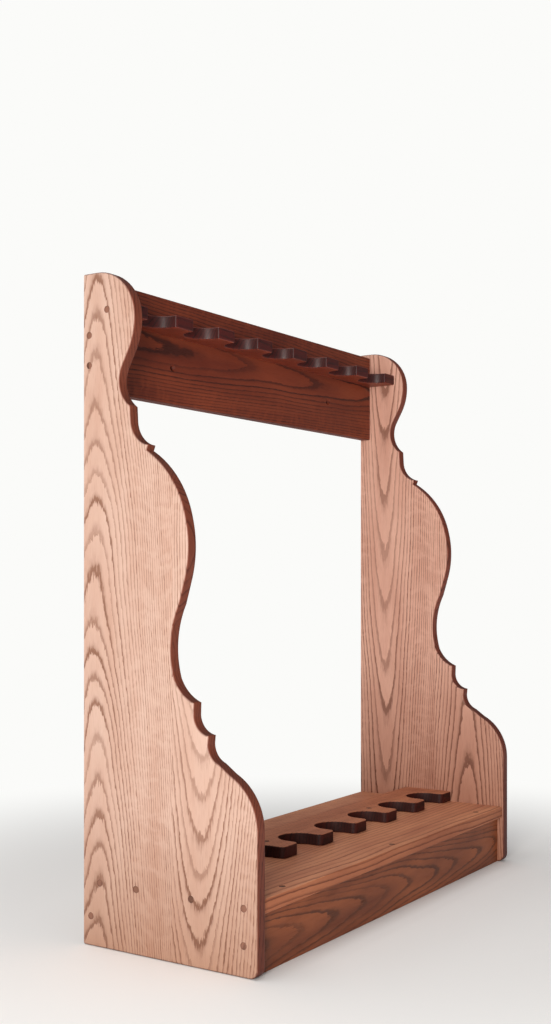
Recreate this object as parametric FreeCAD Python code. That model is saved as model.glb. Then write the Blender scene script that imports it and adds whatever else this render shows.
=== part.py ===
import FreeCAD, Part
import os

# Standing oak cue rack: two scalloped end panels joined by a back rail, a deck on two aprons
# and two notched rails. The lower notched rail holds the cue butts, the upper one the shafts.
#
# Frame, in millimetres: the origin is on the floor under the middle of the rack. +X runs to
# the rack's right, -Y is its front and +Z is up. "depth" is measured forward from the backs
# of the end panels, so depth 0 is the wall side.

# Driving dimensions
RACK_WIDTH = 787.4          # outside to outside of the end panels, 31 in
RACK_DEPTH = 285.75         # a nominal 12 in board, planed
RACK_HEIGHT = 914.4         # 36 in
BOARD = 19.05               # planed thickness of the panels, rails, deck and aprons
NOTCHED_BOARD = 17.5        # the notched rails, sanded a little thinner
CUE_COUNT = 7
CUE_PITCH = 103.2

# End panels
GLUE_LINE_DEPTH = 152.4     # the rear board of each panel is 6 in wide
WAIST_Z = 398.0             # the waist is cut past the glue line here
FOOT_RADIUS = 12.7          # bottom front corner

# Base
APRON_HEIGHT = 77.8
DECK_SETBACK = 3.0          # deck front behind the panel fronts
APRON_SETBACK = 11.3        # front apron behind the panel fronts
REAR_APRON_INSET = 3.0      # rear apron in front of the panel backs

# Back rail and the two countersunk holes that screw it to a wall
RAIL_BOTTOM = 754.6
RAIL_HEIGHT = 152.4
WALL_HOLE_SPACING = 444.5
WALL_HOLE_Z = 808.0
WALL_HOLE_RADIUS = 2.75
WALL_SINK_RADIUS = 5.5
WALL_SINK_DEPTH = 3.2

# Upper notched rail, screwed to the front of the back rail
UPPER_RAIL_CENTRE_Z = 862.0
UPPER_RAIL_DEPTH = 50.8
UPPER_NOTCH_RADIUS = 31.0
UPPER_NOTCH_LENGTH = 34.0   # from the rail's front to the end of the notch
UPPER_MOUTH_ROUND = 3.0

# Lower notched rail, lying on the deck
LOWER_RAIL_FRONT_DEPTH = 184.0
LOWER_RAIL_DEPTH = 88.9
LOWER_NOTCH_RADIUS = 31.0
LOWER_NOTCH_LENGTH = 51.0
LOWER_MOUTH_ROUND = 9.0

# Wood screws and the plugs that cover them
SHANK_RADIUS = 2.1
HEAD_RADIUS = 4.0
HEAD_HEIGHT = 2.6
TIP_LENGTH = 5.0
PLUG_RADIUS = 4.75
PLUG_LENGTH = 6.0
PANEL_SCREW_LENGTH = 38.0
UPPER_RAIL_SCREW_LENGTH = 45.0
LOWER_RAIL_SCREW_LENGTH = 28.0
RAIL_SCREW_SINK = 1.0       # heads just below the back of the back rail
DECK_SCREW_DEPTHS = (28.5, 91.5, 182.5, 265.0)
APRON_SCREW_Z = 40.7
BACK_RAIL_SCREW_ZS = (789.0, 830.0)
UPPER_END_SCREW_DEPTH = 41.0
UPPER_RAIL_TEETH = (-2.5, -0.5, 0.5, 2.5)   # teeth that take a screw, in cue pitches from the middle
LOWER_RAIL_TEETH = (-1.5, 1.5)
APRON_TOP_SCREW_XS = (-304.8, 0.0, 304.8)   # through the deck into the front apron

# Derived places
BACK_Y = RACK_DEPTH / 2
INNER_X = RACK_WIDTH / 2 - BOARD
DECK_TOP = APRON_HEIGHT + BOARD
DECK_CENTRE_Z = APRON_HEIGHT + BOARD / 2
LOWER_RAIL_BACK_DEPTH = LOWER_RAIL_FRONT_DEPTH - LOWER_RAIL_DEPTH
LOWER_RAIL_TOP = DECK_TOP + NOTCHED_BOARD
UPPER_RAIL_BOTTOM = UPPER_RAIL_CENTRE_Z - NOTCHED_BOARD / 2
UPPER_FRONT_DEPTH = BOARD + UPPER_RAIL_DEPTH
FRONT_APRON_DEPTH = RACK_DEPTH - APRON_SETBACK - BOARD / 2
REAR_APRON_DEPTH = REAR_APRON_INSET + BOARD / 2
LEFT = -1
RIGHT = 1


def at(x, depth, z):
    """The point at x, this far forward of the panel backs, at height z."""
    return FreeCAD.Vector(x, BACK_Y - depth, z)


def board(x_low, x_high, depth_back, depth_front, z_low, z_high):
    """A plain board between two x, two depths and two heights."""
    size = (x_high - x_low, depth_front - depth_back, z_high - z_low)
    return Part.makeBox(*size, at(x_low, depth_front, z_low))


def wire_through(start, steps):
    """Joined lines and arcs from start: a step is (end,) for a line or (middle, end) for an arc."""
    edges = []
    here = start
    for step in steps:
        if len(step) == 1:
            edges.append(Part.LineSegment(here, step[0]).toShape())
        else:
            edges.append(Part.Arc(here, step[0], step[1]).toShape())
        here = step[-1]
    return Part.Wire(edges)


def panel_profile(x):
    """Outline of an end panel in the plane at x, from the back bottom corner and round."""
    crown = RACK_HEIGHT
    front = RACK_DEPTH
    outline = [
        ((0, crown),),
        ((22, crown),),
        ((69.2, 894.8), (88.5, 848)),          # head
        ((84, 819), (77, 803)),
        ((68, 786.6),),
        ((62, 760), (80.5, 729.5)),            # neck
        ((81.5, 711),),
        ((89.5, 689), (111, 676)),             # cove under the neck, ending in the beak
        ((108.5, 669),),
        ((148.5, 633), (173.5, 578)),          # belly
        ((178, 545), (172.5, 500)),
        ((162.5, 466),),
        ((149, 408), (155, 369)),              # waist
        ((165.5, 353.5), (187, 339.5)),
        ((186.5, 323),),
        ((191.5, 309.5), (210, 299)),          # cove above the foot
        ((209, 288),),
        ((213, 274.5), (226, 264)),
        ((243, 252),),
        ((272.5, 226), (front, 184)),          # toe
        ((front, FOOT_RADIUS),),
        ((front - 3.72, 3.72), (front - FOOT_RADIUS, 0)),
        ((0, 0),),
    ]
    steps = [tuple(at(x, depth, z) for depth, z in step) for step in outline]
    return wire_through(at(x, 0, 0), steps)


def whole_panel(side):
    """One end panel before it is divided at its glue line."""
    x_low = INNER_X if side == RIGHT else -RACK_WIDTH / 2
    return Part.Face(panel_profile(x_low)).extrude(FreeCAD.Vector(BOARD, 0, 0))


def slab(depth_back, depth_front, z_low, z_high):
    """A cutting block as wide as the rack."""
    return board(-RACK_WIDTH, RACK_WIDTH, depth_back, depth_front, z_low, z_high)


def panel_boards(side):
    """The glued boards of one end panel: rear board, belly board and foot board."""
    panel = whole_panel(side)
    rear = panel.common(slab(-10, GLUE_LINE_DEPTH, -10, RACK_HEIGHT + 10))
    belly = panel.common(slab(GLUE_LINE_DEPTH, RACK_DEPTH + 10, WAIST_Z, RACK_HEIGHT))
    foot = panel.common(slab(GLUE_LINE_DEPTH, RACK_DEPTH + 10, -10, WAIST_Z))
    return {"rear_board": rear, "belly_board": belly, "foot_board": foot}


def cue_positions():
    """X of each cue, evenly pitched about the middle."""
    return [(number - (CUE_COUNT - 1) / 2) * CUE_PITCH for number in range(CUE_COUNT)]


def notch(x, z_low, front, radius, length, ease):
    """Round-ended cutter for one notch: length runs from the rail's front to the notch's end.

    The mouth flares by the radius ease at both corners, and the sides between the flare and
    the round end are straight where length leaves room for them.
    """
    side = radius + ease
    diagonal = ease * (1 - 0.5 ** 0.5)
    round_start = front - length + radius
    steps = [
        (at(x - side, front, z_low),),
        (at(x - radius - diagonal, front - diagonal, z_low), at(x - radius, front - ease, z_low)),
        (at(x, front - length, z_low), at(x + radius, round_start, z_low)),
        (at(x + radius + diagonal, front - diagonal, z_low), at(x + side, front, z_low)),
        (at(x + side, front + 5, z_low),),
        (at(x - side, front + 5, z_low),),
    ]
    if front - ease - round_start > 0.01:
        steps.insert(3, (at(x + radius, front - ease, z_low),))
        steps.insert(2, (at(x - radius, round_start, z_low),))
    outline = wire_through(at(x - side, front + 5, z_low), steps)
    return Part.Face(outline).extrude(FreeCAD.Vector(0, 0, NOTCHED_BOARD))


def notched_rail(depth_back, depth_front, z_low, radius, length, ease):
    """A board with a row of notches in its front edge, one for each cue."""
    blank = board(-INNER_X, INNER_X, depth_back, depth_front, z_low, z_low + NOTCHED_BOARD)
    return blank.cut([notch(x, z_low, depth_front, radius, length, ease) for x in cue_positions()])


def upper_rail():
    """Upper notched rail, against the front of the back rail."""
    return notched_rail(BOARD, UPPER_FRONT_DEPTH, UPPER_RAIL_BOTTOM,
                        UPPER_NOTCH_RADIUS, UPPER_NOTCH_LENGTH, UPPER_MOUTH_ROUND)


def lower_rail():
    """Lower notched rail, lying on the deck."""
    return notched_rail(LOWER_RAIL_BACK_DEPTH, LOWER_RAIL_FRONT_DEPTH, DECK_TOP,
                        LOWER_NOTCH_RADIUS, LOWER_NOTCH_LENGTH, LOWER_MOUTH_ROUND)


def deck():
    """Deck board between the end panels."""
    return board(-INNER_X, INNER_X, 0, RACK_DEPTH - DECK_SETBACK, APRON_HEIGHT, DECK_TOP)


def apron(depth_centre):
    """One apron under the deck."""
    return board(-INNER_X, INNER_X, depth_centre - BOARD / 2, depth_centre + BOARD / 2, 0, APRON_HEIGHT)


def back_rail():
    """Back rail with its two countersunk wall holes, bored from the front."""
    rail = board(-INNER_X, INNER_X, 0, BOARD, RAIL_BOTTOM, RAIL_BOTTOM + RAIL_HEIGHT)
    backward = FreeCAD.Vector(0, 1, 0)
    for x in (-WALL_HOLE_SPACING / 2, WALL_HOLE_SPACING / 2):
        mouth = at(x, BOARD, WALL_HOLE_Z)
        hole = Part.makeCylinder(WALL_HOLE_RADIUS, BOARD, mouth, backward)
        sink = Part.makeCone(WALL_SINK_RADIUS, WALL_HOLE_RADIUS, WALL_SINK_DEPTH, mouth, backward)
        rail = rail.cut(hole).cut(sink)
    return rail


def screw(head_top, direction, length):
    """Countersunk wood screw: its flat head is at head_top and its point lies along direction."""
    neck = head_top + direction * HEAD_HEIGHT
    tip = head_top + direction * (length - TIP_LENGTH)
    head = Part.makeCone(HEAD_RADIUS, SHANK_RADIUS, HEAD_HEIGHT, head_top, direction)
    shank = Part.makeCylinder(SHANK_RADIUS, length - HEAD_HEIGHT - TIP_LENGTH, neck, direction)
    point = Part.makeCone(SHANK_RADIUS, 0.3, TIP_LENGTH, tip, direction)
    return head.fuse([shank, point]).removeSplitter()


def plugged_screw(face, inward, length):
    """A screw driven in at the point face, and the plug that covers its head."""
    plug = Part.makeCylinder(PLUG_RADIUS, PLUG_LENGTH, face, inward)
    return screw(face + inward * PLUG_LENGTH, inward, length), plug


def end_joint(places):
    """Plugged screws through both end panels at these (depth, z) places."""
    pairs = []
    for side in (LEFT, RIGHT):
        inward = FreeCAD.Vector(-side, 0, 0)
        for depth, z in places:
            pairs.append(plugged_screw(at(side * RACK_WIDTH / 2, depth, z), inward, PANEL_SCREW_LENGTH))
    return pairs


def top_joint(xs, depth, z, length):
    """Plugged screws driven down at these x, from a top face at height z."""
    down = FreeCAD.Vector(0, 0, -1)
    return [plugged_screw(at(x, depth, z), down, length) for x in xs]


def upper_rail_screws():
    """Screws through the back rail into the upper notched rail, behind its teeth, and their holes."""
    forward = FreeCAD.Vector(0, -1, 0)
    mouths = [at(step * CUE_PITCH, 0, UPPER_RAIL_CENTRE_Z) for step in UPPER_RAIL_TEETH]
    starts = [mouth + forward * RAIL_SCREW_SINK for mouth in mouths]
    screws = [screw(start, forward, UPPER_RAIL_SCREW_LENGTH) for start in starts]
    holes = [Part.makeCylinder(HEAD_RADIUS, RAIL_SCREW_SINK, mouth, forward) for mouth in mouths]
    return screws, holes


def main():
    nodes = {}
    for side, side_name in ((LEFT, "left"), (RIGHT, "right")):
        for name, shape in panel_boards(side).items():
            nodes[f"{side_name}_panel_{name}"] = shape
    nodes["back_rail"] = back_rail()
    nodes["upper_notched_rail"] = upper_rail()
    nodes["lower_notched_rail"] = lower_rail()
    nodes["deck"] = deck()
    nodes["front_apron"] = apron(FRONT_APRON_DEPTH)
    nodes["rear_apron"] = apron(REAR_APRON_DEPTH)

    joints = {
        "deck_end": end_joint([(depth, DECK_CENTRE_Z) for depth in DECK_SCREW_DEPTHS]),
        "front_apron_end": end_joint([(FRONT_APRON_DEPTH, APRON_SCREW_Z)]),
        "rear_apron_end": end_joint([(REAR_APRON_DEPTH, APRON_SCREW_Z)]),
        "back_rail_end": end_joint([(BOARD / 2, z) for z in BACK_RAIL_SCREW_ZS]),
        "upper_rail_end": end_joint([(UPPER_END_SCREW_DEPTH, UPPER_RAIL_CENTRE_Z)]),
        "front_apron_top": top_joint(APRON_TOP_SCREW_XS, FRONT_APRON_DEPTH, DECK_TOP, PANEL_SCREW_LENGTH),
        "lower_rail": top_joint([step * CUE_PITCH for step in LOWER_RAIL_TEETH],
                                LOWER_RAIL_FRONT_DEPTH - LOWER_RAIL_DEPTH / 2,
                                LOWER_RAIL_TOP, LOWER_RAIL_SCREW_LENGTH),
    }
    fasteners = {}
    for name, pairs in joints.items():
        fasteners[f"{name}_screws"] = [screw_shape for screw_shape, plug in pairs]
        fasteners[f"{name}_plugs"] = [plug for screw_shape, plug in pairs]
    fasteners["upper_rail_back_screws"], cutters = upper_rail_screws()

    for group in fasteners.values():
        cutters = cutters + group
    for name, shape in nodes.items():
        near = [cutter for cutter in cutters if cutter.BoundBox.intersect(shape.BoundBox)]
        if near:
            nodes[name] = shape.cut(near)
    for name, group in fasteners.items():
        nodes[name] = Part.Compound(group)

    os.makedirs("parts", exist_ok=True)
    for name, shape in nodes.items():
        shape.exportStep(f"parts/{name}.step")
        solids = shape.Solids
        volume = sum(solid.Volume for solid in solids) / 1000
        valid = all(solid.isValid() for solid in solids)
        print(f"{name}: {len(solids)} solids, {volume:.1f} cm3, valid {valid}")


main()
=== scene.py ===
# %% [markdown]
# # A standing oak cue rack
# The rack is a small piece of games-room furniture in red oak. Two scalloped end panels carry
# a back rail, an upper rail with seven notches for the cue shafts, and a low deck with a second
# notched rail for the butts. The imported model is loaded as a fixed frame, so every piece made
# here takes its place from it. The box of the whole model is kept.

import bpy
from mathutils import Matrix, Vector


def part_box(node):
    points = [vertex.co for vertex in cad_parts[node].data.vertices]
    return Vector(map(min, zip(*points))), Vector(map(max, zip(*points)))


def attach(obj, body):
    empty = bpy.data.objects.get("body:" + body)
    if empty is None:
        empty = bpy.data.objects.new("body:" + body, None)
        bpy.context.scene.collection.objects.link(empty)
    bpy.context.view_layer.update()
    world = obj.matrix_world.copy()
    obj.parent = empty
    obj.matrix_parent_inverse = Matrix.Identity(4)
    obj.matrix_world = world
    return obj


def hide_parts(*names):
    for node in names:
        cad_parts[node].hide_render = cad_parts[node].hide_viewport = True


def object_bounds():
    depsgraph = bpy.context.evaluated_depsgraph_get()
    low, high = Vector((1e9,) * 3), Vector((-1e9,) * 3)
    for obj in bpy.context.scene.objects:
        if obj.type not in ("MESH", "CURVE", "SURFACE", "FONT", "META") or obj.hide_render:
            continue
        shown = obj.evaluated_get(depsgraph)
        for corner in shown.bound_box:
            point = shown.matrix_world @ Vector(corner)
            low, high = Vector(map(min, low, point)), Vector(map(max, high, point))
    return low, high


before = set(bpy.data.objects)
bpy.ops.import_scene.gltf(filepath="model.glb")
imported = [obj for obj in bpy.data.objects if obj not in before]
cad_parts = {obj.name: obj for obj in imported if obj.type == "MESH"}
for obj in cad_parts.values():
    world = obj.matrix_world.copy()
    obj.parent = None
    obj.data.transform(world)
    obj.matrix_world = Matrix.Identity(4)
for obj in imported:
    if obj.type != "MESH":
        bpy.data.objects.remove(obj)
cad_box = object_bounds()
print("frame:", len(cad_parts), "nodes")

# %% Blender's own modules, one unit and the tolerances
from math import radians

import bmesh
import bpy
from mathutils import Matrix, Vector

MM = 0.001
HAIR = 0.1 * MM
MERGE = 0.002 * MM
FLAT = radians(0.3)
SMOOTH_BELOW = radians(40)
SHARP_ABOVE = radians(60)
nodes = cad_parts

# %% [markdown]
# ## Working on one object at a time
# An operator acts on everything that is selected, and loading the frame leaves its nodes
# selected. So each step first deselects everything and then makes one object active. Edges are
# picked in code, by a small test on each edge, as a hand would pick them by eye.

# %% Pick one object
def pick_only(piece):
    """Deselect everything, then select this object and make it active."""
    if bpy.context.object and bpy.context.object.mode == "EDIT":
        bpy.ops.object.mode_set(mode="OBJECT")
    bpy.ops.object.select_all(action="DESELECT")
    piece.select_set(True)
    bpy.context.view_layer.objects.active = piece


def apply_modifier(piece, kind, **settings):
    """Add one modifier with these settings and apply it."""
    pick_only(piece)
    modifier = piece.modifiers.new(kind.title(), kind)
    for name, value in settings.items():
        setattr(modifier, name, value)
    bpy.ops.object.modifier_apply(modifier=modifier.name)


# %% [markdown]
# ## A board ready for shaping
# The scalloped panels and the notched rails are sawn to a drawn outline. That outline is
# already exact in the frame, so the simplest true start is a copy of the node. Its mesh is
# loose triangles, so the copy is merged, and flat triangles are dissolved into whole faces.
# Drawing the outline again by hand would only bring small errors.

# %% Copy a node as clean faces
def sawn_copy(node_name, name):
    """A merged copy of a frame node, with whole flat faces."""
    piece = bpy.data.objects.new(name, nodes[node_name].data.copy())
    piece.data.materials.clear()
    bpy.context.scene.collection.objects.link(piece)
    pick_only(piece)
    bpy.ops.object.mode_set(mode="EDIT")
    bpy.ops.mesh.select_all(action="SELECT")
    bpy.ops.mesh.remove_doubles(threshold=MERGE)
    bpy.ops.mesh.dissolve_limited(angle_limit=FLAT)
    bpy.ops.object.mode_set(mode="OBJECT")
    return piece


# %% [markdown]
# ## Sanded edges
# On the real rack every sawn outline has been run along a roundover bit and sanded. A Bevel
# modifier limited by edge weight makes all of them in one go: an edge of weight 1 is rounded
# and an edge of weight 0 stays sharp. All the edges of one outline get the same weight, since
# a light roundover that runs into a full one can fold the flat face beside it.

# %% Round the chosen edges
def sand_edges(piece, radius, weight_of, steps=3):
    """Round each edge by radius times the weight that weight_of gives it."""
    shape = bmesh.new()
    shape.from_mesh(piece.data)
    weights = shape.edges.layers.float.new("bevel_weight_edge")
    count = 0
    for edge in shape.edges:
        sharp = len(edge.link_faces) == 2 and edge.calc_face_angle() > SHARP_ABOVE
        edge[weights] = weight_of(edge) if sharp else 0.0
        count += edge[weights] > 0
    shape.to_mesh(piece.data)
    shape.free()
    apply_modifier(piece, "BEVEL", width=radius, segments=steps, limit_method="WEIGHT",
                   use_clamp_overlap=False, miter_outer="MITER_SHARP")
    piece.data.attributes.remove(piece.data.attributes["bevel_weight_edge"])
    pick_only(piece)
    bpy.ops.object.shade_smooth_by_angle(angle=SMOOTH_BELOW)
    apply_modifier(piece, "WEIGHTED_NORMAL", keep_sharp=True)
    triangles = sum(len(face.vertices) - 2 for face in piece.data.polygons)
    print(piece.name, "rounded edges:", count, "triangles:", triangles)


# %% [markdown]
# ## Where the screws go in
# Each end panel is held by plugged screws. Their bores are in the panels already, and their
# rims stay crisp, so the test for a panel edge leaves out anything near a screw's axis.

# %% Screw places, in the rack's own measures
PANEL_FACE, BACK = Vector(cad_box[1]).xy
BOARD = 19.05 * MM
DECK_MIDDLE = 87.325 * MM
APRON_MIDDLE = 40.7 * MM
UPPER_RAIL_Z = 862 * MM
NEAR_BORE = 6 * MM
GLUE_LINE = BACK - 152.4 * MM


def ahead(depth_mm):
    """The y of a point this many millimetres forward of the rack's back."""
    return BACK - depth_mm * MM


FRONT_APRON_Y = ahead(264.925)
REAR_APRON_Y = ahead(12.525)
BACK_RAIL_Y = ahead(9.525)
end_joints = {
    "deck_end": [(ahead(depth), DECK_MIDDLE) for depth in (28.5, 91.5, 182.5, 265.0)],
    "front_apron_end": [(FRONT_APRON_Y, APRON_MIDDLE)],
    "rear_apron_end": [(REAR_APRON_Y, APRON_MIDDLE)],
    "back_rail_end": [(BACK_RAIL_Y, height * MM) for height in (789, 830)],
    "upper_rail_end": [(ahead(41.0), UPPER_RAIL_Z)],
}
axes_yz = [place for places in end_joints.values() for place in places]
print("screws through each panel:", len(axes_yz))

# %% [markdown]
# ## The end panels
# Each panel is three boards glued edge to edge: a 6 inch rear board at full height, a belly
# board in front of it above the waist and a foot board below. As in the workshop, the boards
# are first joined and the whole outline is rounded over, about 3 mm at the front, the top and
# the foot. The back edge goes to the wall and stays square. Rounding each board by itself
# would spoil the thin tips where the outline runs almost along the glue line.

# %% Join and round a whole panel
ROUNDOVER = 3.2 * MM


def panel_weight(edge):
    """Full roundover on the outline, none at the back or inside."""
    a, b = (vertex.co for vertex in edge.verts)
    middle = (a + b) / 2
    across = abs(a.x - b.x) > BOARD / 2
    bored = any((middle.y - y) ** 2 + (middle.z - z) ** 2 < NEAR_BORE ** 2 for y, z in axes_yz)
    inside = abs(abs(middle.x) - (PANEL_FACE - BOARD / 2)) < BOARD / 2 - HAIR
    at_wall = middle.y > BACK - HAIR
    return 0.0 if across or bored or inside or at_wall else 1.0


def glued_panel(side):
    """The three boards of one panel as one rounded shape."""
    whole = sawn_copy(f"{side}_panel_rear_board", f"{side}_panel")
    for part in ("belly_board", "foot_board"):
        board = sawn_copy(f"{side}_panel_{part}", part)
        apply_modifier(whole, "BOOLEAN", object=board, operation="UNION", solver="EXACT")
        bpy.data.objects.remove(board)
    pick_only(whole)
    bpy.ops.object.mode_set(mode="EDIT")
    bpy.ops.mesh.select_all(action="SELECT")
    bpy.ops.mesh.remove_doubles(threshold=MERGE)
    bpy.ops.mesh.dissolve_limited(angle_limit=FLAT)
    bpy.ops.object.mode_set(mode="OBJECT")
    sand_edges(whole, ROUNDOVER, panel_weight)
    return whole


# %% [markdown]
# ## Back into three boards
# Each board has its own grain, so the rounded panel is cut again: bisect keeps one side of a
# plane and fills the cut. The belly and the foot lie on the same side, so a second cut at the
# waist, where there is no wood in front of the glue line, parts them.

# %% Cut the panels at their glue lines
WAIST = 398 * MM


def keep_side(whole, name, cuts):
    """A copy of the whole panel, kept on the side that each cut's direction points away from."""
    piece = bpy.data.objects.new(name, whole.data.copy())
    bpy.context.scene.collection.objects.link(piece)
    pick_only(piece)
    bpy.ops.object.mode_set(mode="EDIT")
    for point, direction in cuts:
        bpy.ops.mesh.select_all(action="SELECT")
        bpy.ops.mesh.bisect(plane_co=point, plane_no=direction, use_fill=True, clear_outer=True)
    bpy.ops.object.mode_set(mode="OBJECT")
    bpy.ops.object.shade_smooth_by_angle(angle=SMOOTH_BELOW)
    apply_modifier(piece, "WEIGHTED_NORMAL", keep_sharp=True)
    print(name, "faces:", len(piece.data.polygons))
    return piece


glue = (0, GLUE_LINE, 0)
waist = (0, 0, WAIST)
cuts_of = {
    "rear_board": [(glue, (0, -1, 0))],
    "belly_board": [(glue, (0, 1, 0)), (waist, (0, 0, -1))],
    "foot_board": [(glue, (0, 1, 0)), (waist, (0, 0, 1))],
}
panels = {}
for side in ("left", "right"):
    whole = glued_panel(side)
    for part, cuts in cuts_of.items():
        node_name = f"{side}_panel_{part}"
        panels[node_name] = keep_side(whole, f"{node_name}_sanded", cuts)
    bpy.data.objects.remove(whole)

# %% [markdown]
# ## The notched rails
# Both rails are sawn with a row of seven round-ended notches. The edges along the notches are
# rounded on the top and the bottom face, so a cue is never scratched. The ends are butted to
# the panels and stay square, and so do the bores for the two plugs in the lower rail.

# %% Make the two notched rails
RAIL_END = PANEL_FACE - BOARD
CUE_PITCH = 103.2 * MM
lower_plug_places = [(step * CUE_PITCH, ahead(139.55)) for step in (-1.5, 1.5)]


def rail_weight(edge, heights):
    """Full roundover on the outline at these two heights, but not at the ends."""
    a, b = (vertex.co for vertex in edge.verts)
    middle = (a + b) / 2
    level = abs(a.z - b.z) < HAIR and min(abs(a.z - height) for height in heights) < HAIR
    at_end = all(abs(abs(end.x) - RAIL_END) < HAIR for end in (a, b))
    bored = any((middle.x - x) ** 2 + (middle.y - y) ** 2 < NEAR_BORE ** 2 for x, y in lower_plug_places)
    return 1.0 if level and not at_end and not bored else 0.0


rails = {}
for node_name in ("upper_notched_rail", "lower_notched_rail"):
    low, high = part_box(node_name)
    rails[node_name] = sawn_copy(node_name, f"{node_name}_sanded")
    sand_edges(rails[node_name], 1.8 * MM, lambda edge: rail_weight(edge, (low.z, high.z)))

# %% [markdown]
# ## The plain boards
# The deck, the two aprons and the back rail are planed boards, cut square. Each starts as a
# cube at its size and place. Its long edges are picked by their direction and bevelled with
# the operator, because one radius is enough here, and the sawn ends stay square for the joint.

# %% Make a planed board
def planed_board(node_name, ease):
    """A board as large as the frame's node, with its four long edges eased."""
    low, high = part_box(node_name)
    bpy.ops.object.select_all(action="DESELECT")
    bpy.ops.mesh.primitive_cube_add(size=1, location=(low + high) / 2, scale=high - low)
    piece = bpy.context.object
    piece.name = f"{node_name}_planed"
    bpy.ops.object.transform_apply(location=True, rotation=True, scale=True)
    bpy.ops.object.mode_set(mode="EDIT")
    bpy.ops.mesh.select_mode(type="EDGE")
    bpy.ops.mesh.select_all(action="DESELECT")
    shape = bmesh.from_edit_mesh(piece.data)
    for edge in shape.edges:
        a, b = (vertex.co for vertex in edge.verts)
        edge.select = abs(a.x - b.x) > PANEL_FACE
    bmesh.update_edit_mesh(piece.data)
    bpy.ops.mesh.bevel(offset=ease, segments=3, affect="EDGES")
    bpy.ops.object.mode_set(mode="OBJECT")
    print(piece.name, "size in mm:", [round(v / MM, 1) for v in high - low])
    return piece


eases = {"deck": 1.6 * MM, "front_apron": 1.2 * MM, "rear_apron": 1.2 * MM, "back_rail": 1.6 * MM}
boards = {node_name: planed_board(node_name, ease) for node_name, ease in eases.items()}

# %% [markdown]
# ## Bores for the fasteners
# A plug fills a short counterbore and the screw under it fills its own bore. The frame's
# fasteners have exactly that shape, so a merged copy of them is the drill: a Boolean modifier
# takes them out of the board. Drawing the bores again as cylinders would give the same holes.

# %% Drill a board
def drill(piece, cutter):
    """Take the cutter out of the piece, and throw the cutter away."""
    apply_modifier(piece, "BOOLEAN", object=cutter, operation="DIFFERENCE", solver="EXACT")
    bpy.data.objects.remove(cutter)


def drill_for(board_name, *fastener_nodes):
    """Bore a board for all the fasteners of these frame nodes."""
    for node_name in fastener_nodes:
        drill(boards[board_name], sawn_copy(node_name, f"drill_{node_name}"))
    print(board_name, "drilled, faces:", len(boards[board_name].data.polygons))


drill_for("deck", "deck_end_screws", "front_apron_top_screws", "front_apron_top_plugs",
          "lower_rail_screws")
drill_for("front_apron", "front_apron_end_screws", "front_apron_top_screws")
drill_for("rear_apron", "rear_apron_end_screws")
drill_for("back_rail", "back_rail_end_screws", "upper_rail_back_screws")

# %% [markdown]
# ## Holes in the back rail
# Two countersunk holes let the rack be screwed to a wall, and four shallow sinks at the back
# hold the heads of the screws into the upper rail. A countersink is a cylinder whose mouth
# is widened, so the cutter is a cylinder with its front face scaled up in edit mode.

# %% Cut the wall holes and the sinks
WALL_HOLE_X = 222.25 * MM
WALL_HOLE_Z = 808 * MM
WALL_HOLE_RADIUS = 2.75 * MM
COUNTERSINK_DEPTH = 3.2 * MM
BACK_SINK_RADIUS = 4.5 * MM
BACK_SINK_DEPTH = 1 * MM
OVERSHOOT = 2 * MM
RAIL_FRONT = ahead(19.05)


def bore_along_y(x, z, y_low, y_high, radius):
    """A round cutter that lies along Y."""
    bpy.ops.object.select_all(action="DESELECT")
    middle = (x, (y_low + y_high) / 2, z)
    bpy.ops.mesh.primitive_cylinder_add(vertices=48, radius=radius, depth=y_high - y_low,
                                        location=middle, rotation=(radians(90), 0, 0))
    cutter = bpy.context.object
    bpy.ops.object.transform_apply(location=True, rotation=True, scale=True)
    return cutter


for x in (-WALL_HOLE_X, WALL_HOLE_X):
    hole = bore_along_y(x, WALL_HOLE_Z, RAIL_FRONT - BOARD, BACK + BOARD, WALL_HOLE_RADIUS)
    drill(boards["back_rail"], hole)
    sink = bore_along_y(x, WALL_HOLE_Z, RAIL_FRONT, RAIL_FRONT + COUNTERSINK_DEPTH, WALL_HOLE_RADIUS)
    bpy.ops.object.mode_set(mode="EDIT")
    bpy.ops.mesh.select_mode(type="FACE")
    bpy.ops.mesh.select_all(action="DESELECT")
    shape = bmesh.from_edit_mesh(sink.data)
    for face in shape.faces:
        face.select = face.normal.y < -0.9
    bmesh.update_edit_mesh(sink.data)
    bpy.ops.transform.resize(value=(2, 1, 2))
    bpy.ops.mesh.extrude_region_move(TRANSFORM_OT_translate={"value": (0, -OVERSHOOT, 0)})
    bpy.ops.object.mode_set(mode="OBJECT")
    drill(boards["back_rail"], sink)

upper_screw_xs = [step * CUE_PITCH for step in (-2.5, -0.5, 0.5, 2.5)]
for x in upper_screw_xs:
    sink = bore_along_y(x, UPPER_RAIL_Z, BACK - BACK_SINK_DEPTH, BACK + OVERSHOOT, BACK_SINK_RADIUS)
    drill(boards["back_rail"], sink)

for board in boards.values():
    pick_only(board)
    bpy.ops.object.shade_smooth_by_angle(angle=SMOOTH_BELOW)
    apply_modifier(board, "WEIGHTED_NORMAL", keep_sharp=True)
print("back rail faces:", len(boards["back_rail"].data.polygons))

# %% [markdown]
# ## Wood plugs
# A plug is a short dowel cut from the same oak, tapped in over the screw and sanded level. It
# always ends up a hair below the face, with a soft rim, and that thin shadow is what shows
# where the screws are. One cylinder is made with its top rim bevelled, and then copied.

# %% Turn one plug
def rim_of(piece, test):
    """In edit mode, select the edges that pass a test on both of their vertices."""
    bpy.ops.mesh.select_mode(type="EDGE")
    bpy.ops.mesh.select_all(action="DESELECT")
    shape = bmesh.from_edit_mesh(piece.data)
    for edge in shape.edges:
        edge.select = all(test(vertex.co) for vertex in edge.verts)
    bmesh.update_edit_mesh(piece.data)


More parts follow.
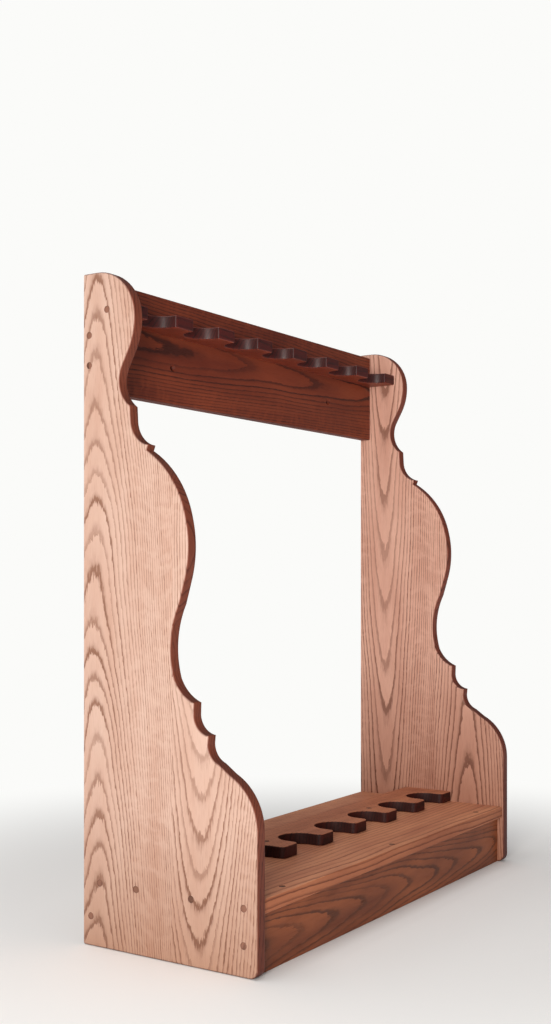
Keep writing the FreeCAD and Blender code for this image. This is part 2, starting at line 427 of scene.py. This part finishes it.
PLUG_TOP = -0.12 * MM
PLUG_RADIUS = 4.68 * MM
PLUG_DEPTH = 5.86 * MM
PLUG_RIM = 0.55 * MM
bpy.ops.object.select_all(action="DESELECT")
bpy.ops.mesh.primitive_cylinder_add(vertices=40, radius=PLUG_RADIUS, depth=PLUG_DEPTH,
                                    location=(0, 0, PLUG_TOP - PLUG_DEPTH / 2))
plug = bpy.context.object
plug.name = "plug"
bpy.ops.object.transform_apply(location=True, rotation=True, scale=True)
bpy.ops.object.mode_set(mode="EDIT")
rim_of(plug, lambda co: co.z > PLUG_TOP - 0.01 * MM)
bpy.ops.mesh.bevel(offset=PLUG_RIM, segments=3, affect="EDGES")
bpy.ops.object.mode_set(mode="OBJECT")
bpy.ops.object.shade_smooth_by_angle(angle=SMOOTH_BELOW)
print("plug faces:", len(plug.data.polygons))

# %% [markdown]
# ## Wood screws
# The screws are countersunk steel wood screws. One is made for each length from a cylinder:
# its lower face is extruded and scaled into the cone of the head, then into rings of thread
# and at last into the point. Real thread is a helix, and rings are used because the wood
# hides them all. The cross recess in the head is the one part that shows, at the back.

# %% Model a screw
def lower_face(piece):
    """In edit mode, select the face at the bottom end that looks down."""
    bpy.ops.mesh.select_mode(type="FACE")
    bpy.ops.mesh.select_all(action="DESELECT")
    shape = bmesh.from_edit_mesh(piece.data)
    looking_down = (face for face in shape.faces if face.normal.z < -0.9)
    lowest = min(looking_down, key=lambda face: face.calc_center_median().z)
    lowest.select = True
    bmesh.update_edit_mesh(piece.data)


def grow_down(length, scale):
    """Extrude the selected face down and scale its new ring."""
    bpy.ops.mesh.extrude_region_move(TRANSFORM_OT_translate={"value": (0, 0, -length)})
    bpy.ops.transform.resize(value=(scale, scale, 1))


def cross_cutter():
    """A plus-shaped cutter for the drive recess, 1.8 mm deep."""
    bpy.ops.object.select_all(action="DESELECT")
    bpy.ops.mesh.primitive_cube_add(size=1, location=(0, 0, -0.6 * MM), scale=(0.9 * MM, 0.9 * MM, 2.4 * MM))
    cutter = bpy.context.object
    bpy.ops.object.transform_apply(location=True, rotation=True, scale=True)
    bpy.ops.object.mode_set(mode="EDIT")
    bpy.ops.mesh.select_mode(type="FACE")
    for direction in (Vector((1, 0, 0)), Vector((-1, 0, 0)), Vector((0, 1, 0)), Vector((0, -1, 0))):
        bpy.ops.mesh.select_all(action="DESELECT")
        shape = bmesh.from_edit_mesh(cutter.data)
        for face in shape.faces:
            face.select = face.normal.dot(direction) > 0.9 and face.calc_center_median().length < 0.9 * MM
        bmesh.update_edit_mesh(cutter.data)
        bpy.ops.mesh.extrude_region_move(TRANSFORM_OT_translate={"value": direction * 1.6 * MM})
    bpy.ops.object.mode_set(mode="OBJECT")
    return cutter


HEAD_RADIUS = 3.9 * MM
HEAD_RIM = 0.3 * MM
HEAD_CONE = 2.3 * MM
SHANK_RADIUS = 1.95 * MM
SHANK_SHARE = 0.3
ROOT_SHARE = 0.72
THREAD_GAP = 1.4 * MM
THREAD_FLANK = 0.5 * MM
UNTHREADED = 8.2 * MM


def wood_screw(length):
    """A countersunk screw whose head is at the origin and whose point is down."""
    bpy.ops.object.select_all(action="DESELECT")
    bpy.ops.mesh.primitive_cylinder_add(vertices=24, radius=HEAD_RADIUS, depth=HEAD_RIM,
                                        location=(0, 0, -HEAD_RIM / 2))
    screw = bpy.context.object
    bpy.ops.object.transform_apply(location=True, rotation=True, scale=True)
    bpy.ops.object.mode_set(mode="EDIT")
    lower_face(screw)
    grow_down(HEAD_CONE, SHANK_RADIUS / HEAD_RADIUS)
    grow_down(length * SHANK_SHARE, 1.0)
    grow_down(THREAD_FLANK, 0.75)
    threaded = length * (1 - SHANK_SHARE) - UNTHREADED
    for _ in range(int(threaded / (THREAD_GAP + 2 * THREAD_FLANK))):
        grow_down(THREAD_GAP, 1.0)
        grow_down(THREAD_FLANK, 1 / ROOT_SHARE)
        grow_down(THREAD_FLANK, ROOT_SHARE)
    lowest = min(vertex.co.z for vertex in bmesh.from_edit_mesh(screw.data).verts)
    grow_down(length + lowest, 0.12)
    bpy.ops.object.mode_set(mode="OBJECT")
    drill(screw, cross_cutter())
    pick_only(screw)
    bpy.ops.object.shade_smooth_by_angle(angle=radians(35))
    print("screw length in mm:", round(screw.dimensions.z / MM, 2), "faces:", len(screw.data.polygons))
    return screw


panel_screw = wood_screw(38 * MM)
upper_rail_screw = wood_screw(45 * MM)
lower_rail_screw = wood_screw(28 * MM)

# %% [markdown]
# ## Setting the fasteners
# Every plug and screw is a copy with its own mesh, turned and moved to its place, and the
# copies of one joint are joined into one object, as the frame has them in one node. The
# master points down, so each copy only needs the direction in which the screw was driven.

# %% Copy a master to its places
def set_copies(master, places, name):
    """One object with a copy of master at each (point, direction the screw is driven)."""
    copies = []
    for point, direction in places:
        turn = Vector((0, 0, -1)).rotation_difference(direction).to_matrix().to_4x4()
        copy = bpy.data.objects.new(name, master.data.copy())
        copy.data.transform(Matrix.Translation(point) @ turn)
        bpy.context.scene.collection.objects.link(copy)
        copies.append(copy)
    pick_only(copies[0])
    for copy in copies:
        copy.select_set(True)
    bpy.ops.object.join()
    print(name, "copies:", len(copies))
    return bpy.context.object


# %% Set the plugs and screws
PLUG_LENGTH = 6 * MM
DECK_TOP = 96.85 * MM
LOWER_RAIL_TOP = DECK_TOP + 17.5 * MM
down = Vector((0, 0, -1))
joints = {}
for name, places in end_joints.items():
    joints[name] = [(Vector((side * PANEL_FACE, y, z)), Vector((-side, 0, 0)))
                    for side in (-1, 1) for y, z in places]
joints["front_apron_top"] = [(Vector((x * MM, FRONT_APRON_Y, DECK_TOP)), down)
                             for x in (-304.8, 0, 304.8)]
joints["lower_rail"] = [(Vector((x, y, LOWER_RAIL_TOP)), down) for x, y in lower_plug_places]

plugs = {}
screws = {}
for name, places in joints.items():
    master = lower_rail_screw if name == "lower_rail" else panel_screw
    starts = [(point + direction * PLUG_LENGTH, direction) for point, direction in places]
    plugs[f"{name}_plugs"] = set_copies(plug, places, f"{name}_plugs_sanded")
    screws[f"{name}_screws"] = set_copies(master, starts, f"{name}_screws_driven")
sunk_heads = [(Vector((x, BACK - BACK_SINK_DEPTH, UPPER_RAIL_Z)), Vector((0, -1, 0)))
              for x in upper_screw_xs]
screws["upper_rail_back_screws"] = set_copies(upper_rail_screw, sunk_heads,
                                              "upper_rail_back_screws_driven")
for master in (plug, panel_screw, upper_rail_screw, lower_rail_screw):
    bpy.data.objects.remove(master)

# %% [markdown]
# ## Nodes and colours
# Colours are written as the sRGB hex values that a paint or stain chart gives, and shaders
# work in linear light, so one function turns them. One more function adds a node: its
# options by name, and its inputs as numbers, colours or other nodes' outputs.

# %% Two small helpers
def linear(hex_colour):
    """An sRGB hex colour as linear RGBA."""
    values = [int(hex_colour[i:i + 2], 16) / 255 for i in (1, 3, 5)]
    return [v / 12.92 if v <= 0.04045 else ((v + 0.055) / 1.055) ** 2.4 for v in values] + [1.0]


def add(tree, kind, inputs=(), **options):
    """Add one node with its options, and set or link each (socket, value or output)."""
    made = tree.nodes.new("ShaderNode" + kind)
    for name, value in options.items():
        setattr(made, name, value)
    for socket, value in inputs:
        if isinstance(value, bpy.types.NodeSocket):
            tree.links.new(value, made.inputs[socket])
        else:
            made.inputs[socket].default_value = value
    return made


def set_ramp(node, stops):
    """Put these (place, grey) stops on a colour ramp."""
    ramp = node.color_ramp
    while len(ramp.elements) < len(stops):
        ramp.elements.new(0.5)
    for element, (place, grey) in zip(ramp.elements, stops):
        element.position = place
        element.color = (grey, grey, grey, 1)
    return node


# %% [markdown]
# ## Red oak
# Red oak is a ring-porous wood. Each year starts with a band of large open pores, which takes
# the stain darkest, and fades into denser, paler wood. A board is a slice through those
# nested cones of growth, so its face shows arches where it passes near the heart and straight
# lines beside them. A flat stripe texture can't do that, and its lines would not run on round
# an edge. So the rings are made in three dimensions, as distance from a pith line beyond
# the board, with a slow rise along the grain that turns circles into arches.

# %% The oak material
def oak(name, pale, mid, band, edge, axes, centre, pith=40.0, rings=4.6, bend=1.5, rise=48.0,
        foot="#ffffff", foot_top=0.2, roughness=0.46, gloss=0.05):
    """Stained red oak: axes are the (width, thickness, length) axes, and lengths are in mm."""
    material = bpy.data.materials.new(name)
    material.use_nodes = True
    tree = material.node_tree
    shader = tree.nodes["Principled BSDF"]

    # the board's own coordinates in millimetres: X over its width, Y its thickness, Z its grain
    place = add(tree, "TexCoord").outputs["Object"]
    split = add(tree, "SeparateXYZ", [(0, place)]).outputs
    turned = add(tree, "CombineXYZ", [(number, split[axis]) for number, axis in enumerate(axes)])
    grain = add(tree, "Mapping", [("Vector", turned.outputs[0]), ("Scale", (1000, 1000, 1000)),
                                  ("Location", [-c for c in centre])]).outputs[0]

    # slow wander of the trunk, about 90 mm across and 260 mm long, and a ripple of 5 mm by 13 mm
    slow = add(tree, "VectorMath", [(0, grain), (1, (1 / 90, 1 / 90, 1 / 260))], operation="MULTIPLY")
    wander = add(tree, "TexNoise", [("Vector", slow.outputs[0]), ("Scale", 1.0), ("Detail", 1.5)])
    fine = add(tree, "VectorMath", [(0, grain), (1, (1 / 5, 1 / 5, 1 / 13))], operation="MULTIPLY")
    ripple = add(tree, "TexNoise", [("Vector", fine.outputs[0]), ("Scale", 1.0), ("Detail", 2.5)])
    moved = add(tree, "VectorMath", [(0, wander.outputs["Color"]), (1, (14, 14, 90)), (2, grain)],
                operation="MULTIPLY_ADD")
    bent = add(tree, "VectorMath",
               [(0, ripple.outputs["Color"]), (1, (1.6, 1.6, 14)), (2, moved.outputs[0])],
               operation="MULTIPLY_ADD").outputs[0]

    # thin streaks along the grain, which are the pores and also fray the tips of the arches
    long_way = add(tree, "VectorMath", [(0, moved.outputs[0]), (1, (1 / 0.9, 1 / 0.9, 1 / 18))],
                   operation="MULTIPLY")
    streak = add(tree, "TexNoise", [("Vector", long_way.outputs[0]), ("Scale", 1.0), ("Detail", 2.0)])

    # distance from the pith line, with the rings closer together further out
    flat = add(tree, "VectorMath", [(0, bent), (1, (1, 1, 0)), (2, (-7, pith - 7, 0))],
               operation="MULTIPLY_ADD")
    radius = add(tree, "VectorMath", [(0, flat.outputs[0])], operation="LENGTH").outputs["Value"]
    ratio = add(tree, "Math", [(0, radius), (1, pith)], operation="DIVIDE")
    power = add(tree, "Math", [(0, ratio.outputs[0]), (1, bend)], operation="POWER")
    along = add(tree, "SeparateXYZ", [(0, bent)]).outputs[2]
    frayed = add(tree, "Math", [(0, streak.outputs["Fac"]), (1, 22.0), (2, along)],
                 operation="MULTIPLY_ADD")
    climb = add(tree, "Math", [(0, frayed.outputs[0]), (1, 1 / rise)], operation="MULTIPLY")
    year = add(tree, "Math", [(0, power.outputs[0]), (1, rings), (2, climb.outputs[0])],
               operation="MULTIPLY_ADD").outputs[0]

    # one year: the porous band starts sharply and fades into the denser wood
    phase = add(tree, "Math", [(0, year)], operation="FRACT").outputs[0]
    early = set_ramp(add(tree, "ValToRGB", [(0, phase)]),
                     [(0.0, 1.0), (0.15, 0.95), (0.22, 0.4), (0.4, 0.08), (0.95, 0.0), (1.0, 1.0)])
    count = add(tree, "Math", [(0, year)], operation="FLOOR").outputs[0]
    luck = add(tree, "TexWhiteNoise", [("W", count)], noise_dimensions="1D").outputs["Value"]
    weight = add(tree, "MapRange", [("Value", luck), ("To Min", 0.45), ("To Max", 1.1)]).outputs[0]
    band_mask = add(tree, "Math", [(0, early.outputs[0]), (1, weight)], operation="MULTIPLY").outputs[0]

    # open pores: about 0.3 mm by 5 mm, drawn 0.9 mm by 18 mm so that they show from here
    pores = set_ramp(add(tree, "ValToRGB", [(0, streak.outputs["Fac"])]), [(0.5, 0.0), (0.68, 1.0)])
    openness = add(tree, "Math", [(0, band_mask), (1, 0.75), (2, 0.25)], operation="MULTIPLY_ADD")
    pore_mask = add(tree, "Math", [(0, pores.outputs[0]), (1, openness.outputs[0])],
                    operation="MULTIPLY").outputs[0]

    # pale ribbons slanting across the grain, about 26 mm by 9 mm, where the rings stand steep
    ray_way = add(tree, "Mapping", [("Vector", bent), ("Rotation", (0, 0.35, 0)),
                                    ("Scale", (1 / 26, 1 / 26, 1 / 9))]).outputs[0]
    ray = add(tree, "TexNoise", [("Vector", ray_way), ("Scale", 1.0), ("Detail", 1.0)]).outputs["Fac"]
    ribbon = set_ramp(add(tree, "ValToRGB", [(0, ray)]), [(0.45, 0.0), (0.7, 0.4)])
    steep = add(tree, "MapRange", [("Value", ratio.outputs[0]), ("From Min", 1.25), ("From Max", 2.0)])
    fleck = add(tree, "Math", [(0, ribbon.outputs[0]), (1, steep.outputs[0])],
                operation="MULTIPLY").outputs[0]

    # slow change of colour along the board, where the stain took more or less
    tone_way = add(tree, "VectorMath", [(0, grain), (1, (1 / 38, 1 / 38, 1 / 210))],
                   operation="MULTIPLY").outputs[0]
    tone = add(tree, "TexNoise", [("Vector", tone_way), ("Scale", 1.0), ("Detail", 3.0)]).outputs["Fac"]
    tone_step = set_ramp(add(tree, "ValToRGB", [(0, tone)]), [(0.32, 0.0), (0.68, 1.0)])
    ground = add(tree, "Mix", [(0, tone_step.outputs[0]), (6, linear(pale)), (7, linear(mid))],
                 data_type="RGBA")
    banded = add(tree, "Mix", [(0, band_mask), (6, ground.outputs[2]), (7, linear(band))],
                 data_type="RGBA")
    pore_amount = add(tree, "Math", [(0, pore_mask), (1, 0.5)], operation="MULTIPLY")
    pored = add(tree, "Mix", [(0, pore_amount.outputs[0]), (6, banded.outputs[2]), (7, linear(band))],
                data_type="RGBA")
    figured = add(tree, "Mix", [(0, fleck), (6, pored.outputs[2]), (7, linear(pale))], data_type="RGBA")

    # sawn edges take the edge colour and end grain is darker still: the end grain is real stain, and the
    # edge colour is partly stain and partly painted shade on the dim edges and roundovers
    normal = add(tree, "SeparateXYZ", [(0, add(tree, "NewGeometry").outputs["Normal"])]).outputs
    facing = add(tree, "Math", [(0, normal[axes[1]])], operation="ABSOLUTE")
    edge_step = set_ramp(add(tree, "ValToRGB", [(0, facing.outputs[0])]), [(0.4, 1.0), (0.97, 0.0)])
    edged = add(tree, "Mix", [(0, edge_step.outputs[0]), (6, (1, 1, 1, 1)), (7, linear(edge))],
                data_type="RGBA")
    across = add(tree, "Math", [(0, normal[axes[2]])], operation="ABSOLUTE")
    end_step = set_ramp(add(tree, "ValToRGB", [(0, across.outputs[0])]), [(0.35, 1.0), (0.95, 0.55)])
    tinted = add(tree, "Mix", [(0, 1.0), (6, figured.outputs[2]), (7, edged.outputs[2])],
                 data_type="RGBA", blend_type="MULTIPLY")
    stained = add(tree, "Mix", [(0, 1.0), (6, tinted.outputs[2]), (7, end_step.outputs[0])],
                  data_type="RGBA", blend_type="MULTIPLY")

    # painted shade and warm bounce light towards the floor: the colour turns darker and more orange low down
    height = add(tree, "MapRange", [("Value", split[2]), ("From Min", 0.0), ("From Max", foot_top)])
    shade_to_floor = add(tree, "Mix", [(0, height.outputs[0]), (6, linear(foot)), (7, (1, 1, 1, 1))],
               data_type="RGBA")
    shaded_near_floor = add(tree, "Mix", [(0, 1.0), (6, stained.outputs[2]), (7, shade_to_floor.outputs[2])],
                    data_type="RGBA", blend_type="MULTIPLY")
    tree.links.new(shaded_near_floor.outputs[2], shader.inputs["Base Color"])

    # satin varnish: smooth over the dense wood and rougher where it sinks into the pores
    dull = add(tree, "Math", [(0, pore_mask), (1, 0.2), (2, roughness)], operation="MULTIPLY_ADD")
    duller = add(tree, "Math", [(0, tone), (1, 0.12), (2, dull.outputs[0])], operation="MULTIPLY_ADD")
    dullest = add(tree, "Math", [(0, edge_step.outputs[0]), (1, 0.12), (2, duller.outputs[0])],
                  operation="MULTIPLY_ADD")
    tree.links.new(dullest.outputs[0], shader.inputs["Roughness"])
    sunk = add(tree, "Math", [(0, band_mask), (1, 0.4), (2, pore_mask)], operation="MULTIPLY_ADD")
    raised = add(tree, "Math", [(0, 1.0), (1, sunk.outputs[0])], operation="SUBTRACT")
    bump = add(tree, "Bump", [("Strength", 0.5), ("Distance", 0.00025), ("Height", raised.outputs[0])])
    tree.links.new(bump.outputs[0], shader.inputs["Normal"])
    shader.inputs["IOR"].default_value = 1.5
    shader.inputs["Specular IOR Level"].default_value = 0.3
    shader.inputs["Coat Weight"].default_value = gloss
    shader.inputs["Coat Roughness"].default_value = 0.3
    return material


# %% [markdown]
# ## One material for each board
# No two boards come from the same place in a log, so each board gets its own centre, rise and
# tint. The tints are partly real and partly painted light: boards that face the lamp are paler
# and greyer, and boards in dim places darker and redder. A positive rise makes the arches point
# up or to the right, and a negative one down or to the left. The boards of one panel share a stain.

# %% Oak for the panels
UPRIGHT = (1, 0, 2)
LEVEL_FACE = (1, 2, 0)
STANDING_FACE = (2, 1, 0)
FACE_MM = PANEL_FACE / MM
BACK_MM = BACK / MM
# the panel colours are pale and grey partly as painted light, where the panels face the lamp
near_stain_and_light = ("#ccad9d", "#c09b89", "#865e4b", "#a1634d")
far_stain_and_light = ("#dcad99", "#c89581", "#784b39", "#a1634d")
plain = {"pith": 60, "rings": 14, "bend": 1, "rise": 2000}
# foot is the colour of the painted shade and bounce light towards the floor, deeper and reaching higher on
# the far panel
near = {"foot": "#dacbbe", "gloss": 0.15}
far = {"foot": "#bda694", "foot_top": 0.4, "gloss": 0.15}


def near_oak(board, ahead_of_back, **growth):
    """Oak for a board of the left panel, its heart this many mm ahead of the back."""
    centre = (BACK_MM - ahead_of_back, -FACE_MM, 0)
    return oak(f"red_oak_left_{board}", *near_stain_and_light, UPRIGHT, centre, **growth, **near)


def far_oak(board, ahead_of_back, **growth):
    """Oak for a board of the right panel, whose inner face is the one most seen."""
    centre = (BACK_MM - ahead_of_back, FACE_MM - 19, 0)
    return oak(f"red_oak_right_{board}", *far_stain_and_light, UPRIGHT, centre, **growth, **far)


panel_oaks = {
    "left_panel_rear_board": near_oak("rear_board", 22, rise=47),
    "left_panel_belly_board": near_oak("belly_board", 400, **plain),
    "left_panel_foot_board": near_oak("foot_board", 198, rise=-47),
    "right_panel_rear_board": far_oak("rear_board", 52, pith=28, rings=2.7, rise=-105),
    "right_panel_belly_board": far_oak("belly_board", 420, **plain),
    "right_panel_foot_board": far_oak("foot_board", 215, rise=110),
}
print("panel oaks:", len(panel_oaks))

# %% Oak for the rails, the deck and the aprons
# the base and rail colours are darker and redder partly as painted shade, where these boards sit in dimmer
# light
base_oaks = {
    "deck": oak("red_oak_deck", "#ce8d68", "#ae6e52", "#8a543c", "#ecd6c8", LEVEL_FACE, (-230, 97, 0),
                pith=160, rings=13, rise=700),
    # the lower rail's near-black edge colour is painted shade in the notches
    "lower_notched_rail": oak("red_oak_lower_rail", "#bf7855", "#a96547", "#613220", "#5c2a1f", LEVEL_FACE,
                              (-300, 115, 0), pith=60, rings=12, bend=1, rise=1500),
    "front_apron": oak("red_oak_front_apron", "#a3582f", "#73381d", "#5b2d15", "#e6d4c8", STANDING_FACE,
                       (36, -131, 0), pith=30, rings=3.5, rise=80),
    "rear_apron": oak("red_oak_rear_apron", "#a3582f", "#73381d", "#5b2d15", "#e6d4c8", STANDING_FACE,
                      (45, 130, 0), pith=35, rings=3.5, rise=-90),
    "back_rail": oak("red_oak_back_rail", "#8c3f24", "#6e2b18", "#40180f", "#e6d4c8", STANDING_FACE,
                     (838, 124, 0), pith=34, rings=3.6, rise=210),
    # the upper rail's lavender edge colour is painted shade in the notches with a painted reflection of cool
    # light
    "upper_notched_rail": oak("red_oak_upper_rail", "#9c432a", "#84341f", "#4b1b12", "#8c5258", LEVEL_FACE,
                                     (-60, 871, 0), pith=60, rings=10, bend=1.2, rise=500, gloss=0.3),
}
print("base and rail oaks:", len(base_oaks))

# %% [markdown]
# ## Oak plugs and steel screws
# The plugs are the same oak but show more of their open grain and drank more stain, so they
# are darker dots. The screws are zinc plated steel: pale grey, a little cloudy from the
# plating bath, with a soft gloss. A metal keeps the default IOR.

# %% Plug and screw materials
plug_oak = oak("red_oak_plugs", "#8a5f4e", "#74503f", "#4a2e22", "#ffffff", UPRIGHT, (0, 0, 0),
               pith=60, rings=12, bend=1, rise=400, roughness=0.55)


def zinc_plate(name):
    """Zinc plated steel with faint clouds of about 2 mm."""
    material = bpy.data.materials.new(name)
    material.use_nodes = True
    tree = material.node_tree
    shader = tree.nodes["Principled BSDF"]
    place = add(tree, "TexCoord").outputs["Object"]
    clouds = add(tree, "TexNoise", [("Vector", place), ("Scale", 500.0), ("Detail", 3.0)]).outputs["Fac"]
    tint = add(tree, "Mix", [(0, clouds), (6, linear("#aeb0b2")), (7, linear("#c9c8c4"))], data_type="RGBA")
    tree.links.new(tint.outputs[2], shader.inputs["Base Color"])
    gloss = add(tree, "MapRange", [("Value", clouds), ("To Min", 0.25), ("To Max", 0.45)])
    tree.links.new(gloss.outputs[0], shader.inputs["Roughness"])
    bump = add(tree, "Bump", [("Strength", 0.15), ("Distance", 0.00005), ("Height", clouds)])
    tree.links.new(bump.outputs[0], shader.inputs["Normal"])
    shader.inputs["Metallic"].default_value = 1.0
    return material


screw_zinc = zinc_plate("zinc_plated_steel_screws")
print("fastener materials:", plug_oak.name, screw_zinc.name)

# %% [markdown]
# ## Handing each piece to the frame
# Every piece gets its finish, rides on the one body of the rack and stands for its node, which is hidden.

# %% Finish, ride and replace
pieces = {**panels, **rails, **boards, **plugs, **screws}
finish_of = {**panel_oaks, **base_oaks,
             **dict.fromkeys(plugs, plug_oak), **dict.fromkeys(screws, screw_zinc)}
for node_name, piece in pieces.items():
    piece.data.materials.clear()
    piece.data.materials.append(finish_of[node_name])
    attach(piece, "root")
    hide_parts(node_name)
print("pieces:", len(pieces))

# %% [markdown]
# ## Floor, light and camera
# The rack stands on a plain pale floor. One large soft light stands to the front left, near
# the camera's side, so the faces towards it are bright and the fronts are dimmer. A wide soft
# light from above brightens the deck, and a little light from all round keeps the shadows
# open. Like a studio sweep, the floor fades into the pale background away from the rack: what
# the camera sees there glows, and the wood still gets only the real floor's light.

# %% Floor
bpy.ops.object.select_all(action="DESELECT")
bpy.ops.mesh.primitive_plane_add(size=120, location=(0, 0, 0))
floor = bpy.context.object
floor.name = "floor"
BACKGROUND = linear("#fbfbf9")
floor_paint = bpy.data.materials.new("matt_white_floor_paint")
floor_paint.use_nodes = True
tree = floor_paint.node_tree
floor_shader = tree.nodes["Principled BSDF"]
floor_shader.inputs["Base Color"].default_value = linear("#efeeec")
floor_shader.inputs["Roughness"].default_value = 0.85
floor_place = add(tree, "TexCoord").outputs["Object"]
away = add(tree, "VectorMath", [(0, floor_place)], operation="LENGTH").outputs["Value"]
fade = add(tree, "MapRange", [("Value", away), ("From Min", 0.4), ("From Max", 1.2)],
           interpolation_type="SMOOTHSTEP")
sweep = add(tree, "Math", [(0, fade.outputs[0]), (1, add(tree, "LightPath").outputs["Is Camera Ray"])],
            operation="MULTIPLY")
glow = add(tree, "Emission", [("Color", BACKGROUND), ("Strength", 1.0)])
blend = add(tree, "MixShader", [(0, sweep.outputs[0]), (1, floor_shader.outputs[0]), (2, glow.outputs[0])])
tree.links.new(blend.outputs[0], tree.nodes["Material Output"].inputs["Surface"])
floor.data.materials.append(floor_paint)
print("floor side in metres:", floor.dimensions.x)

# %% Soft studio light
def soft_light(name, place, target, size, power, colour):
    """A square area light at place, turned to face target."""
    data = bpy.data.lights.new(name, "AREA")
    data.size = size
    data.energy = power
    data.color = linear(colour)[:3]
    lamp = bpy.data.objects.new(name, data)
    lamp.location = place
    lamp.rotation_euler = (Vector(target) - Vector(place)).to_track_quat("-Z", "Y").to_euler()
    bpy.context.scene.collection.objects.link(lamp)


soft_light("key_light", (-2.6, -0.95, 0.75), target=(0, 0, 0.45), size=0.9, power=66, colour="#fff9f4")
sky = bpy.data.lights.new("overhead_light", "SUN")
sky.energy = 1.35
sky.angle = radians(40)
overhead = bpy.data.objects.new("overhead_light", sky)
overhead.rotation_euler = (radians(-8), radians(-6), 0)
bpy.context.scene.collection.objects.link(overhead)
print("lights:", len(bpy.data.lights))

# %% Pale room
room = bpy.data.worlds.new("pale_room")
room.use_nodes = True
tree = room.node_tree
fill = tree.nodes["Background"]
fill.inputs["Color"].default_value = linear("#f4f4f6")
fill.inputs["Strength"].default_value = 0.2
wall = add(tree, "Background", [("Color", BACKGROUND), ("Strength", 1.0)])
seen = add(tree, "MixShader", [(0, add(tree, "LightPath").outputs["Is Camera Ray"]),
                               (1, fill.outputs[0]), (2, wall.outputs[0])])
tree.links.new(seen.outputs[0], tree.nodes["World Output"].inputs["Surface"])
bpy.context.scene.world = room
bpy.context.scene.view_settings.view_transform = "Standard"

# %% Camera
camera_data = bpy.data.cameras.new("camera")
camera_data.lens = 44.22
camera_data.shift_y = 0.0588
camera = bpy.data.objects.new("camera", camera_data)
camera.location = (-1.6857, -1.0179, 0.5078)
camera.rotation_euler = (radians(90), 0, radians(-56.72))
bpy.context.scene.collection.objects.link(camera)
bpy.context.scene.camera = camera
print("camera lens in mm:", round(camera_data.lens, 2))
